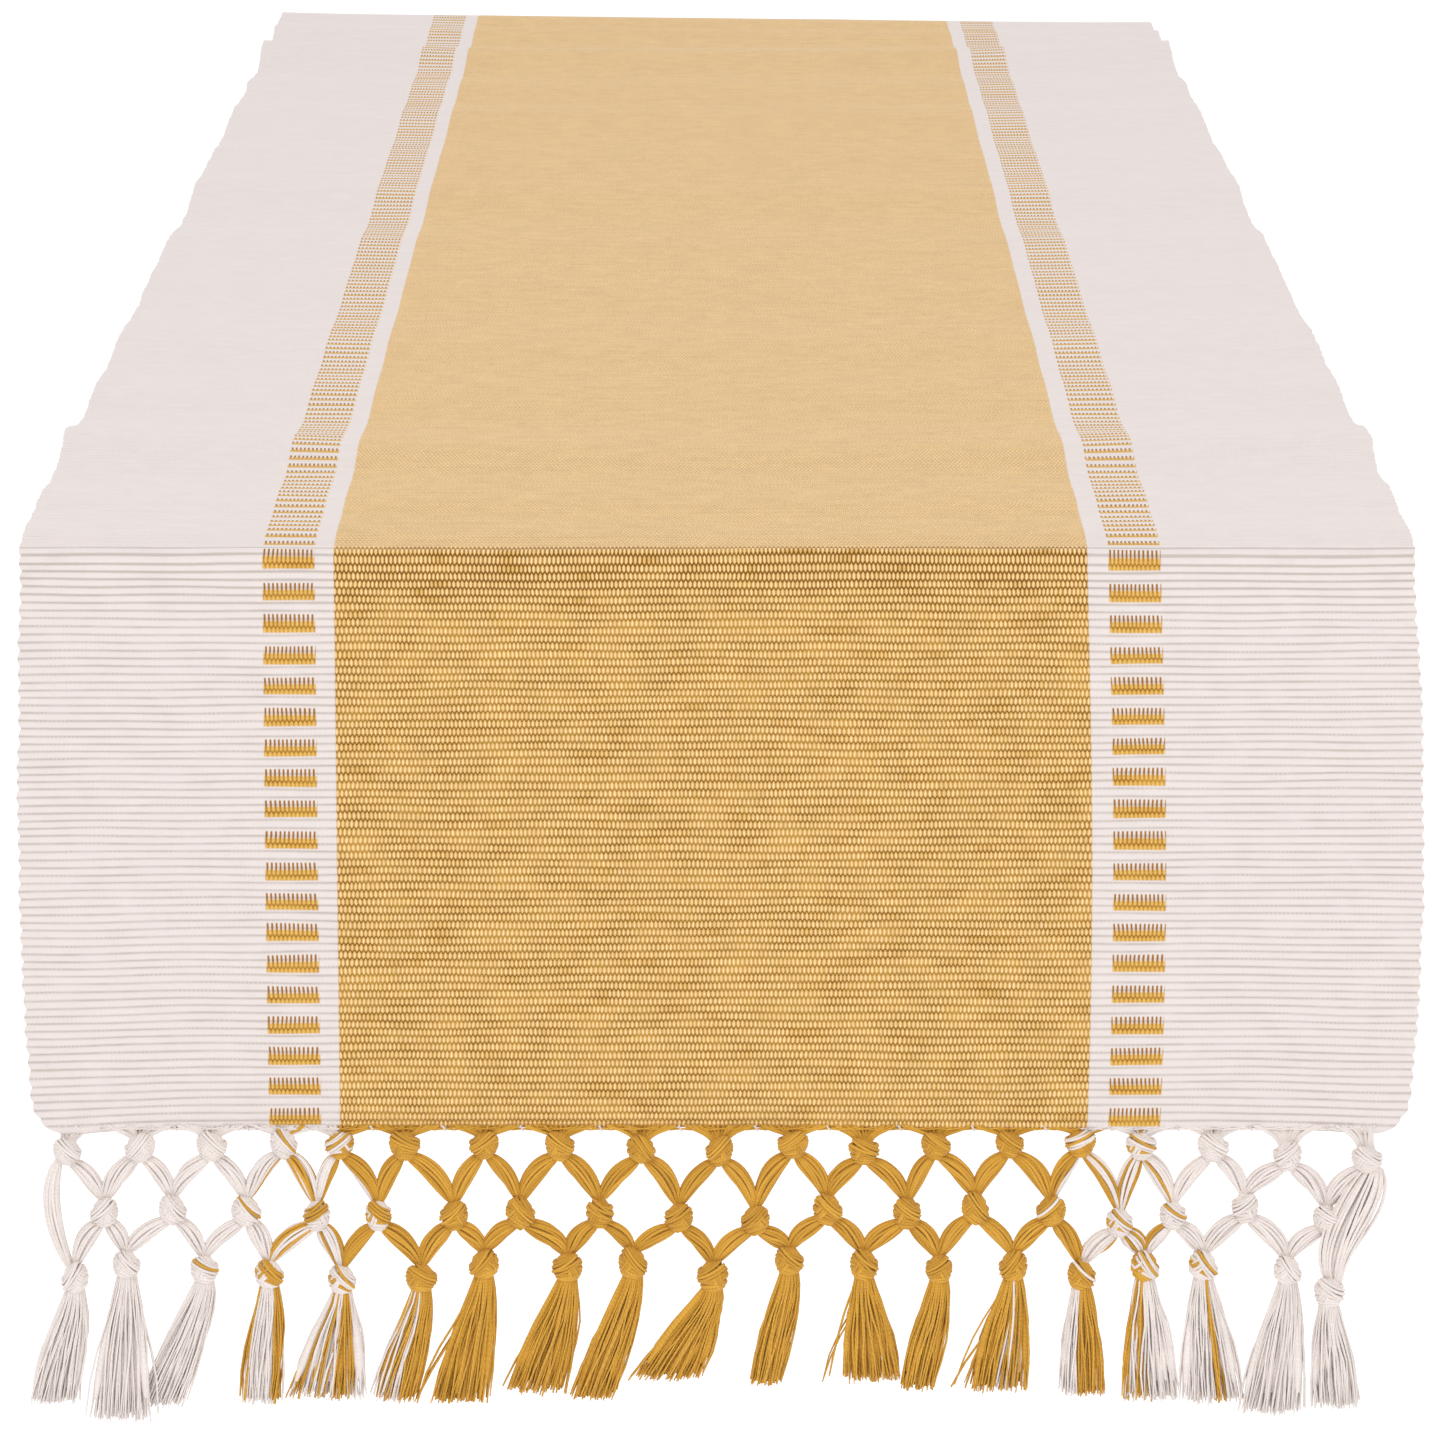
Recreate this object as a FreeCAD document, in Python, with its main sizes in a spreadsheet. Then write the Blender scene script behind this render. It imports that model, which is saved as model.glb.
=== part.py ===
"""Table runner: a ribbed cotton cloth that lies along a table, hangs over both ends and ends in a knotted fringe.

Frame: millimetres, +Z up, the width along X and the length along Y, the front end at -Y. The origin is the centre
of the cloth's underside where it lies on the table top.
"""

import FreeCAD, Part
import math
import os
import Sketcher

V = FreeCAD.Vector
X_AXIS = V(1, 0, 0)
Y_AXIS = V(0, 1, 0)
Z_AXIS = V(0, 0, 1)
NO_TURN = FreeCAD.Rotation()

doc = FreeCAD.newDocument("TableRunner")

# Driving dimensions in millimetres, with what each one measures.
SIZES = [
    ("cloth_width", 381, "cloth, side to side"),
    ("cut_length", 1829, "cloth, hem to hem, measured flat"),
    ("cloth_thickness", 2, "over the ribs"),
    ("drop_length", 160, "table top down to the hem, at each end"),
    ("edge_round", 2, "rounding of the table edge inside the fold"),
    ("hem_corner_round", 11, "soft lower corners of the hanging cloth"),
    ("fringe_inset", 13.5, "side of the cloth in to the first knot"),
    ("gather_height", 1.9, "lip of yarns under the hem"),
    ("gather_space", 3.6, "between two gathers at the hem"),
    ("gather_foot", 6, "gather's width where it enters its knot"),
    ("knot_radius", 4.3, "every knot of the fringe"),
    ("knot_clearance", 0.3, "between a knot and the yarns that enter it"),
    ("strand_radius", 1.4, "bundle of yarns between two knots"),
    ("outer_strand_offset", 2, "long side strands, outward from the middle of their knots"),
    ("row_drop", 17.4, "from one row of knots down to the next"),
    ("neck_radius", 3.1, "tassel just under its head knot"),
    ("skirt_depth", 7, "tassel, front to back, at its cut end"),
    ("skirt_space", 4, "between two tassels at their cut ends"),
    ("tassel_length", 36, "middle of the head knot down to the cut end"),
]

# How far each hand-tied knot sits from its even place, left to right, in hundredths of the pitch.
FIRST_ROW_SHIFTS = [0, 0, 0, 0, -23, -33, -23, -18, -5, 3, 5, 3, 3, 5, 3, -13, -13, -10, 0]
SECOND_ROW_SHIFTS = [0, -5, -3, -5, -20, -15, -23, -13, -3, 3, 3, 13, 8, 13, 8, -18, -18, -5]
HEAD_SHIFTS = [13, -15, -10, -15, -20, -10, -18, -8, -15, -3, 5, 8, 13, 13, 8, -5, -20, -5, -30]
GROUPS = len(FIRST_ROW_SHIFTS)

sheet = doc.addObject("Spreadsheet::Sheet", "Sizes")
for row, (alias, value, measures) in enumerate(SIZES, start=1):
    sheet.set("A%d" % row, alias)
    sheet.set("B%d" % row, str(value))
    sheet.set("C%d" % row, measures)
    sheet.setAlias("B%d" % row, alias)
doc.recompute()


def size(alias):
    """A driving dimension, read from the sheet."""
    return float(sheet.get(alias))


# Places that follow from the driving dimensions.
fold_arc = math.pi / 2 * (size("edge_round") + size("cloth_thickness") / 2)
drop_straight = size("drop_length") - size("edge_round")
top_straight = size("cut_length") - 2 * (fold_arc + drop_straight)
fold_y = top_straight / 2
drop_inner_y = fold_y + size("edge_round")
hang_y = drop_inner_y + size("cloth_thickness") / 2
hem_z = -size("drop_length")
knot_reach = size("knot_radius") + size("knot_clearance")
first_row_z = hem_z - size("gather_height") - knot_reach
second_row_z = first_row_z - size("row_drop")
head_z = second_row_z - size("row_drop")
group_pitch = (size("cloth_width") - 2 * size("fringe_inset")) / (GROUPS - 1)
neck_below_head = math.sqrt(size("knot_radius") ** 2 - size("neck_radius") ** 2)


def bind(item, **expressions):
    """Tie an object's own sizes to the sheet."""
    for name, expression in expressions.items():
        item.setExpression(name, expression)
    return item


def even_place(index, count):
    """X of one of a row's evenly spaced places, the row centred on the cloth."""
    return (index - (count - 1) / 2) * group_pitch


def row_places(shifts):
    """X of each knot in a row: its even place and its own small shift."""
    return [even_place(i, len(shifts)) + group_pitch * shift / 100 for i, shift in enumerate(shifts)]


def at_end(end, position, rotation=NO_TURN):
    """A placement given for the front end, turned half round for the rear."""
    half_turn = FreeCAD.Rotation(Z_AXIS, 180 if end == "rear" else 0)
    return FreeCAD.Placement(V(), half_turn).multiply(FreeCAD.Placement(position, rotation))


# ---- cloth ----


def rectangle_sketch(body, label, role, centred):
    """A rectangle on the body's own plane, centred on the origin or hanging from it by its upper side."""
    sketch = body.newObject("Sketcher::SketchObject", label)
    plane = next(f for f in body.Origin.OriginFeatures if f.Role == role)
    sketch.AttachmentSupport = [(plane, "")]
    sketch.MapMode = "FlatFace"
    corners = [V(-5, -4, 0), V(5, -4, 0), V(5, 4, 0), V(-5, 4, 0)]
    for i in range(4):
        sketch.addGeometry(Part.LineSegment(corners[i], corners[(i + 1) % 4]))
    for i in range(4):
        sketch.addConstraint(Sketcher.Constraint("Coincident", i, 2, (i + 1) % 4, 1))
    for i in (0, 2):
        sketch.addConstraint(Sketcher.Constraint("Horizontal", i))
        sketch.addConstraint(Sketcher.Constraint("Vertical", i + 1))
    opposite_corner = (0, 1) if centred else (3, 1)
    sketch.addConstraint(Sketcher.Constraint("Symmetric", *opposite_corner, 2, 1, -1, 1))
    wide = sketch.addConstraint(Sketcher.Constraint("DistanceX", 0, 1, 0, 2, 10))
    tall = sketch.addConstraint(Sketcher.Constraint("DistanceY", 1, 1, 1, 2, 8))
    sketch.renameConstraint(wide, "wide")
    sketch.renameConstraint(tall, "tall")
    return sketch


def cloth_panel(label, role, centred, tall):
    """A flat panel of cloth, one sketch padded to the cloth's thickness."""
    body = doc.addObject("PartDesign::Body", label)
    body.Label = label
    sketch = rectangle_sketch(body, label + "_outline", role, centred)
    sketch.setExpression("Constraints.wide", "Sizes.cloth_width")
    sketch.setExpression("Constraints.tall", tall)
    pad = body.newObject("PartDesign::Pad", label + "_thickness")
    pad.Profile = sketch
    pad.setExpression("Length", "Sizes.cloth_thickness")
    sketch.Visibility = False
    doc.recompute()
    return body, pad


def make_table_panel():
    fold = "pi * (Sizes.edge_round + Sizes.cloth_thickness / 2)"
    tall = "Sizes.cut_length - 2 * (Sizes.drop_length - Sizes.edge_round) - " + fold
    body, pad = cloth_panel("table_panel", "XY_Plane", True, tall)
    return body


def make_drop_panel(end):
    """The hanging end of the cloth, with soft lower corners."""
    label = end + "_drop_panel"
    body, pad = cloth_panel(label, "XZ_Plane", False, "Sizes.drop_length - Sizes.edge_round")
    low = pad.Shape.BoundBox.ZMin
    corners = []
    for number, edge in enumerate(pad.Shape.Edges, start=1):
        ends = [vertex.Point for vertex in edge.Vertexes]
        across = abs(ends[0].y - ends[1].y) > size("cloth_thickness") / 2
        if across and max(point.z for point in ends) < low + size("hem_corner_round"):
            corners.append("Edge%d" % number)
    softened = body.newObject("PartDesign::Fillet", label + "_corners")
    softened.Base = (pad, corners)
    softened.setExpression("Radius", "Sizes.hem_corner_round")
    body.Placement = at_end(end, V(0, -drop_inner_y, -size("edge_round")))
    return body


def make_fold(end):
    """The quarter bend over the table edge."""
    label = end + "_fold"
    across = FreeCAD.Rotation(Z_AXIS, -Y_AXIS, X_AXIS, "XYZ")
    outside = doc.addObject("Part::Cylinder", label + "_outside")
    inside = doc.addObject("Part::Cylinder", label + "_inside")
    for cylinder in (outside, inside):
        cylinder.Angle = 90
        bind(cylinder, Height="Sizes.cloth_width")
    bind(outside, Radius="Sizes.edge_round + Sizes.cloth_thickness")
    bind(inside, Radius="Sizes.edge_round")
    fold = doc.addObject("Part::Cut", label)
    fold.Label = label
    fold.Base = outside
    fold.Tool = inside
    corner = V(-size("cloth_width") / 2, -fold_y, -size("edge_round"))
    fold.Placement = at_end(end, corner, across)
    return fold


# ---- fringe ----


def group(end, name, members):
    """Separate pieces of one kind, held as one node."""
    label = end + "_" + name
    compound = doc.addObject("Part::Compound", label)
    compound.Label = label
    compound.Links = members
    compound.Placement = at_end(end, V(0, -hang_y, 0))
    return compound


def make_gathers(end, knots):
    """Each group of warp ends, drawn in from the hem to its knot."""
    gathers = []
    for i, knot_x in enumerate(knots):
        gather = doc.addObject("Part::Wedge", "%s_gather_%02d" % (end, i + 1))
        even = even_place(i, GROUPS)
        half = "(%f - Sizes.gather_space) / 2" % group_pitch
        bind(gather, Xmin="%f - %s" % (even, half), Xmax="%f + %s" % (even, half))
        bind(gather, X2min="%f - Sizes.gather_foot / 2" % knot_x, X2max="%f + Sizes.gather_foot / 2" % knot_x)
        bind(gather, Zmin="-Sizes.cloth_thickness / 2", Zmax="Sizes.cloth_thickness / 2")
        bind(gather, Z2min="-Sizes.cloth_thickness / 2", Z2max="Sizes.cloth_thickness / 2")
        gather.Ymin = 0
        bind(gather, Ymax="Sizes.gather_height")
        gather.Placement = FreeCAD.Placement(V(0, 0, hem_z), FreeCAD.Rotation(X_AXIS, -90))
        gathers.append(gather)
    return group(end, "hem_gathers", gathers)


def make_knots(end, name, places, z):
    knots = []
    for i, x in enumerate(places):
        knot = doc.addObject("Part::Sphere", "%s_%s_%02d" % (end, name, i + 1))
        bind(knot, Radius="Sizes.knot_radius")
        knot.Placement.Base = V(x, 0, z)
        knots.append(knot)
    return group(end, name, knots)


def make_strand(label, upper, lower, offset=0):
    """A round bundle of yarns that stops a clearance short of the knots at both ends.

    An offset moves it sideways from the line between the knots' middles, towards +X.
    """
    run = lower - upper
    along = run / run.Length
    strand = doc.addObject("Part::Cylinder", label)
    bind(strand, Radius="Sizes.strand_radius")
    bind(strand, Height="%f - 2 * (Sizes.knot_radius + Sizes.knot_clearance)" % run.Length)
    start = upper + along * knot_reach + along.cross(Y_AXIS) * offset
    strand.Placement = FreeCAD.Placement(start, FreeCAD.Rotation(Z_AXIS, run))
    return strand


def make_strands(end, name, knots, z, runs):
    """The strands from one row to the next. A run is the knot above, by number, and the place below, by X."""
    strands = []
    for above, x in runs:
        label = "%s_%s_%02d" % (end, name, len(strands) + 1)
        strands.append(make_strand(label, V(knots[above], 0, z), V(x, 0, z - size("row_drop"))))
    return group(end, name, strands)


def make_outer_strands(end, first_row, heads):
    """The long strands at the two sides, past the second row to the first and last tassels."""
    strands = []
    for side, outward in ((0, -1), (-1, 1)):
        label = "%s_outer_strand_%d" % (end, len(strands) + 1)
        knot = V(first_row[side], 0, first_row_z)
        head = V(heads[side], 0, head_z)
        strands.append(make_strand(label, knot, head, outward * size("outer_strand_offset")))
    return group(end, "outer_strands", strands)


def make_tassel(end, number, x, even_x):
    """A head knot with a skirt of yarns that spreads from its neck to the cut end."""
    label = "%s_tassel_%02d" % (end, number)
    head = doc.addObject("Part::Sphere", label + "_head")
    bind(head, Radius="Sizes.knot_radius")
    neck = doc.addObject("Part::Ellipse", label + "_neck")
    bind(neck, MajorRadius="Sizes.neck_radius", MinorRadius="Sizes.neck_radius")
    neck.Placement.Base = V(0, 0, -neck_below_head)
    cut_end = doc.addObject("Part::Ellipse", label + "_cut_end")
    bind(cut_end, MajorRadius="(%f - Sizes.skirt_space) / 2" % group_pitch, MinorRadius="Sizes.skirt_depth / 2")
    cut_end.Placement.Base = V(even_x - x, 0, -size("tassel_length"))
    skirt = doc.addObject("Part::Loft", label + "_skirt")
    skirt.Sections = [neck, cut_end]
    skirt.Solid = True
    skirt.Ruled = True
    tassel = doc.addObject("Part::Fuse", label)
    tassel.Label = label
    tassel.Base = head
    tassel.Tool = skirt
    tassel.Placement = at_end(end, V(x, -hang_y, head_z))
    return tassel


def make_fringe(end):
    """The knotted net and its row of tassels. The rear fringe has its own unevenness."""
    order = 1 if end == "front" else -1
    first_row = row_places(FIRST_ROW_SHIFTS[::order])
    second_row = row_places(SECOND_ROW_SHIFTS[::order])
    heads = row_places(HEAD_SHIFTS[::order])
    upper = []
    lower = []
    for j, x in enumerate(second_row):
        upper += [(j, x), (j + 1, x)]
        lower += [(j, heads[j]), (j, heads[j + 1])]
    pieces = [
        make_gathers(end, first_row),
        make_knots(end, "first_row_knots", first_row, first_row_z),
        make_strands(end, "upper_strands", first_row, first_row_z, upper),
        make_knots(end, "second_row_knots", second_row, second_row_z),
        make_strands(end, "lower_strands", second_row, second_row_z, lower),
        make_outer_strands(end, first_row, heads),
    ]
    for i, x in enumerate(heads):
        pieces.append(make_tassel(end, i + 1, x, even_place(i, GROUPS)))
    return pieces


# ---- assembly ----

nodes = [make_table_panel()]
for end in ("front", "rear"):
    nodes += [make_fold(end), make_drop_panel(end)]
    nodes += make_fringe(end)
doc.recompute()

for item in doc.Objects:
    if "Invalid" in item.State or "Error" in item.State:
        raise RuntimeError("%s is in state %s" % (item.Label, item.State))
for node in nodes:
    if node.Shape.isNull() or not node.Shape.isValid() or not node.Shape.Solids:
        raise RuntimeError(node.Label + " has no valid solid")

os.makedirs("parts", exist_ok=True)
for node in nodes:
    node.Shape.exportStep("parts/%s.step" % node.Label)
print("%d nodes" % len(nodes))
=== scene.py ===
"""Table runner: a ribbed cotton cloth laid over a table, with a knotted net and tassels at each end.

The cloth hangs down at the front (-Y) and at the rear (+Y).
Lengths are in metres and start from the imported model; MM turns millimetres into metres.
"""
import math
import random

import bmesh
import bpy
from mathutils import Euler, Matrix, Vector, noise


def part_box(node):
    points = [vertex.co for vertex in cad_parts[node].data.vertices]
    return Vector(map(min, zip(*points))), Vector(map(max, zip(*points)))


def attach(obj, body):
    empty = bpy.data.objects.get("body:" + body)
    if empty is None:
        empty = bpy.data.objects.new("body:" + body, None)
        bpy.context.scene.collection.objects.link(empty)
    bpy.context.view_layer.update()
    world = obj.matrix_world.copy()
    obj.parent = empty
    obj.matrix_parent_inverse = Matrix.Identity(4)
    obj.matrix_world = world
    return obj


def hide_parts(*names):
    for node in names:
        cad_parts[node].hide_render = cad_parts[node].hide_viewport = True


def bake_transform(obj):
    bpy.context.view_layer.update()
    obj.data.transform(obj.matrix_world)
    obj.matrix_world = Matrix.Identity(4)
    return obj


MM = 0.001
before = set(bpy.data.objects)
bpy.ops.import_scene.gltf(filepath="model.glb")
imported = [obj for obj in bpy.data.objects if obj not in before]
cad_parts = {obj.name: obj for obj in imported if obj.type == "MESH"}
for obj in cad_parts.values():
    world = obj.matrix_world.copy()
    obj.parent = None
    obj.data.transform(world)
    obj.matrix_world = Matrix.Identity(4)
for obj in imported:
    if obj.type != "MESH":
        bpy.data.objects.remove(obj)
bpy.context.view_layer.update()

# ---------------------------------------------------------------- sizes from the frame
panel_low, panel_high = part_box("table_panel")
drop_low, drop_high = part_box("front_drop_panel")
HALF_WIDTH = panel_high.x
CLOTH_MIDDLE_Z = (panel_low.z + panel_high.z) / 2
FOLD_Y = panel_high.y
HANG_Y = -(drop_low.y + drop_high.y) / 2
DROP_TOP_Z = drop_high.z
HEM_Z = drop_low.z
BEND_RADIUS = HANG_Y - FOLD_Y
BEND_LENGTH = BEND_RADIUS * math.pi / 2
HALF_LENGTH = FOLD_Y + BEND_LENGTH + DROP_TOP_Z - HEM_Z


def middle_z(node):
    """Height of the middle of a node's box."""
    low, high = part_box(node)
    return (low.z + high.z) / 2


FIRST_ROW_Z = middle_z("front_first_row_knots")
SECOND_ROW_Z = middle_z("front_second_row_knots")
KNOT_RADIUS = (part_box("front_second_row_knots")[1].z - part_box("front_second_row_knots")[0].z) / 2
HEAD_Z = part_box("front_tassel_10")[1].z - KNOT_RADIUS
TASSEL_END_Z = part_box("front_tassel_10")[0].z

# ---------------------------------------------------------------- sizes of the weave
RIBS_PER_HALF = 424
RIB_PITCH = HALF_LENGTH / RIBS_PER_HALF
RIBS_ON_HANGING_CLOTH = 122
RIB_DEPTH = 0.42 * MM
HALF_THICKNESS = 0.55 * MM
CORNER_HEIGHT = 9.5 * MM
CORNER_INSET = 9 * MM
BEAD_PITCH = 1.17 * MM

# Bands of the cloth, measured across it from its centre line.
GOLD_BAND = (-104.6 * MM, 101.0 * MM)
LEFT_DASHES = (-124.0 * MM, -109.8 * MM)
RIGHT_DASHES = (106.7 * MM, 120.9 * MM)
DASH_PERIOD = 4
DASH_START = 1.3
DASH_RIBS = 2.35

# ---------------------------------------------------------------- the fringe's layout
GROUPS = 19
HEM_INSET = 13.5 * MM
GROUP_PITCH = (2 * HALF_WIDTH - 2 * HEM_INSET) / (GROUPS - 1)
FRINGE_SPREAD = 1.013
# Shares of the pitch, in hundredths, by which each knot sits off its even place.
FIRST_ROW_SHIFTS = [0, 0, 0, 0, -23, -33, -23, -18, -5, 3, 5, 3, 3, 5, 3, -13, -13, -10, 0]
SECOND_ROW_SHIFTS = [0, -5, -3, -5, -20, -15, -23, -13, -3, 3, 3, 13, 8, 13, 8, -18, -18, -5]
HEAD_SHIFTS = [8, -20, -12, -22, -21, -11, -24, -8, -17, -6, 0, 4, 8, 11, 6, -6, -25, -8, -50]
# Millimetres by which each knot and each tassel's head hangs above its row.
FIRST_ROW_LIFTS = [
    0, 1.1, 1.5, 2.2, 1.8, 1.8, 1.8, 1.6, 0.7, 0.2, 2, 0.2, 1.6, 2, 2.4, 1.6, 1.2, -1.3, -2.2,
]
SECOND_ROW_LIFTS = [
    0.2, 1, 0.6, -0.6, -0.6, -0.6, 0, 0, -1.2, -2, 1, 0, 1.3, 0.6, -2.7, -0.7, 1.5, -1.6,
]
HEAD_LIFTS = [
    -1, 2.8, 1.4, 0.1, -1.5, -1, 2.8, 2, 3.1, -0.5, 3.8, 2.6, 1.5, 2.3, -0.3, 2.2, 2.4, 1, -5.1,
]
# Each skirt, in millimetres: how far its end leans sideways from the head, its width there,
# how much longer it is than the even ones, and how far its end stands forwards.
SKIRTS = [
    (-6.5, 15.7, 0.3, 0), (-2.2, 18.5, 4.8, 1.5), (-12.5, 14, 2, -3), (-2.6, 11, 0.3, 0),
    (-4.5, 24, -0.8, 0), (-7, 13, -0.3, 0), (-6.8, 17, 0.6, 0), (-9, 18, -2.5, 0), (-11, 12.5, -0.8, 0),
    (-12, 20, -6.5, 0), (-6.8, 9, -5, 0), (2, 18, -5.9, 0), (-5.8, 10, -3.6, 0), (-3.6, 18.5, -3.1, 0),
    (0.3, 13.5, -2, 0), (1.7, 18, -0.5, 0), (2.4, 18, 0.3, 0), (-4.5, 19, 3.1, 1), (2.3, 15, 2, -1),
]
# Skirts with a few yarns astray, and how far sideways those end, in millimetres.
STRAYS = {4: -12, 6: -12, 9: -13, 11: -15, 13: -13}
# Where a skirt's gold yarns are, as shares of its width from the left; skirts not named are plain.
GOLD_STRIPES = {
    2: [(0.0, 0.04)], 3: [(0.0, 0.12), (0.76, 0.96)], 4: [(0.1, 0.2), (0.34, 0.44), (0.56, 0.8)],
    5: [(0.08, 0.18), (0.28, 0.38), (0.52, 1.0)], 13: [(0.0, 0.5), (0.55, 0.72), (0.77, 1.0)],
    14: [(0.4, 1.0)], 15: [(0.06, 0.16), (0.24, 0.44)], 16: [(0.56, 0.7)],
}
PLAIN_GOLD_SKIRTS = range(6, 13)
# Each knot's lower wraps and its lobe: c is cream, m cream with a few gold yarns,
# n gold with a few cream yarns, and g gold.
FIRST_ROW_COLOURS = "cc cc cc cm nm gg gg gg gg gg gg gg gg gg gm mm cc cc cc".split()
SECOND_ROW_COLOURS = "cc cc cm cg mg gg gg gg gg gg gg gg gg gn mm cm cc cc".split()
HEAD_COLOURS = "cc cc cm mg mm gg gg gg gg gg gg gg gg gg gn nm mm cc cc".split()
# Which way each row's knots are tied, right (+) or left (-), over and over.
KNOT_HANDS = [1, -1, -1, 1, 1, 1, -1, 1, 1, -1, 1, -1, 1]
# Waves of the cloth on the table: millimetres from the fold to each crest, and how high it
# is at the cloth's sides.
TABLE_WAVES = [(22, 2.2), (78, 3.0), (172, 7.0), (300, 3.2), (410, 4.0), (560, 3.0), (680, 3.5)]

CREAM, GOLD = 0, 1
SKIRT_YARNS = 160
SKIRT_STEPS = 6
SKIRT_CLUMPS = 14
SKIRT_YARN_RADIUS = 0.33 * MM
STRAND_YARN_RADIUS = 0.43 * MM
HEM_YARN_RADIUS = 0.42 * MM
# Strands run on this far above the middle of the knot below them, so no strand's end shows.
STRAND_END_ABOVE = 1.0 * MM
ENDS = {"front": -1, "rear": 1}

# ---------------------------------------------------------------- the room
FLOOR_Z = -0.76
CAMERA_PLACE = (-0.28 * MM, -3137.3 * MM, 375.2 * MM)
CAMERA_TIPPED_DOWN = 10.02
CAMERA_TURNED = -0.042
CAMERA_LENS = 220.3


# ================================================================ shader helpers
class Wiring:
    """Adds nodes to a material or a node group, each fed by values or by other nodes' outputs."""

    def __init__(self, tree):
        self.tree = tree

    def node(self, kind, inputs=None, **settings):
        """A new node with its settings made and its inputs fed."""
        made = self.tree.nodes.new(kind)
        for name, value in settings.items():
            setattr(made, name, value)
        for name, value in (inputs or {}).items():
            self.feed(made.inputs[name], value)
        return made

    def feed(self, socket, value):
        """Links an output to the socket, or sets the socket's own value."""
        if isinstance(value, bpy.types.NodeSocket):
            self.tree.links.new(value, socket)
        elif value is not None:
            socket.default_value = value

    def math(self, operation, first, second=None, clamp=False):
        """The result of a Math node."""
        made = self.tree.nodes.new("ShaderNodeMath")
        made.operation = operation
        made.use_clamp = clamp
        self.feed(made.inputs[0], first)
        self.feed(made.inputs[1], second)
        return made.outputs[0]

    def times(self, first, second, clamp=False):
        return self.math("MULTIPLY", first, second, clamp)

    def from_half(self, value):
        """How far the value's fraction is from a half: 0 in the middle of each whole step."""
        return self.math("ABSOLUTE", self.math("SUBTRACT", self.math("FRACT", value), 0.5))

    def stretched_noise(self, across, along, detail):
        """Noise over a place given as two numbers."""
        place = self.node("ShaderNodeCombineXYZ", {0: across, 1: along})
        return self.noise(place.outputs[0], 1.0, detail)

    def spread(self, value, low, high, to_low=0.0, to_high=1.0):
        """Value eased from low..high to to_low..to_high."""
        made = self.node("ShaderNodeMapRange", {0: value, 1: low, 2: high, 3: to_low, 4: to_high})
        made.interpolation_type = "SMOOTHSTEP"
        return made.outputs[0]

    def mix(self, share, first, second, blend="MIX"):
        """A colour between the first and the second, or the two blended."""
        made = self.tree.nodes.new("ShaderNodeMix")
        made.data_type = "RGBA"
        made.blend_type = blend
        self.feed(made.inputs["Factor"], share)
        self.feed(made.inputs[6], first)
        self.feed(made.inputs[7], second)
        return made.outputs[2]

    def noise(self, vector, scale, detail=2.0):
        made = self.node("ShaderNodeTexNoise", {"Vector": vector, "Scale": scale, "Detail": detail})
        return made.outputs[0]

    def between(self, value, low, high, soft):
        """1 between low and high, falling to 0 over soft on each side."""
        rise = self.spread(value, low - soft, low + soft)
        fall = self.spread(value, high - soft, high + soft, 1.0, 0.0)
        return self.times(rise, fall)


def linear(red, green, blue):
    """A screen colour, 0 to 255 each, as the linear colour that shaders take."""
    def channel(value):
        share = value / 255
        return share / 12.92 if share <= 0.04045 else ((share + 0.055) / 1.055) ** 2.4
    return (channel(red), channel(green), channel(blue), 1.0)


def node_group(name, inputs, outputs):
    """An empty shader node group with named inputs (kind, default) and outputs (kind)."""
    group = bpy.data.node_groups.new(name, "ShaderNodeTree")
    for label, (kind, default) in inputs.items():
        socket = group.interface.new_socket(label, in_out="INPUT", socket_type=kind)
        if default is not None:
            socket.default_value = default
    for label, kind in outputs.items():
        group.interface.new_socket(label, in_out="OUTPUT", socket_type=kind)
    wiring = Wiring(group)
    start = wiring.node("NodeGroupInput").outputs
    finish = wiring.node("NodeGroupOutput").inputs
    return group, wiring, start, finish


def cotton_fibre_group():
    """Fine fuzz of cotton: a height for the bump and a light and dark variation of the colour."""
    inputs = {
        "Scale": ("NodeSocketFloat", 1.0),
        "Colour": ("NodeSocketColor", (0.8, 0.8, 0.8, 1)),
        "Variation": ("NodeSocketFloat", 0.1),
    }
    outputs = {"Colour": "NodeSocketColor", "Height": "NodeSocketFloat"}
    group, wiring, start, finish = node_group("cotton_fibre", inputs, outputs)
    place = wiring.node("ShaderNodeTexCoord").outputs["Object"]
    fuzz = wiring.noise(place, wiring.times(start["Scale"], 3200.0), 3.0)
    blotch = wiring.noise(place, wiring.times(start["Scale"], 260.0), 2.0)
    both = wiring.math("ADD", fuzz, blotch)
    change = wiring.times(wiring.math("SUBTRACT", both, 1.0), start["Variation"])
    level = wiring.math("ADD", change, 1.0)
    grey = wiring.node("ShaderNodeCombineColor", {0: level, 1: level, 2: level})
    wiring.feed(finish["Colour"], wiring.mix(1.0, start["Colour"], grey.outputs[0], "MULTIPLY"))
    wiring.feed(finish["Height"], fuzz)
    return group


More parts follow.
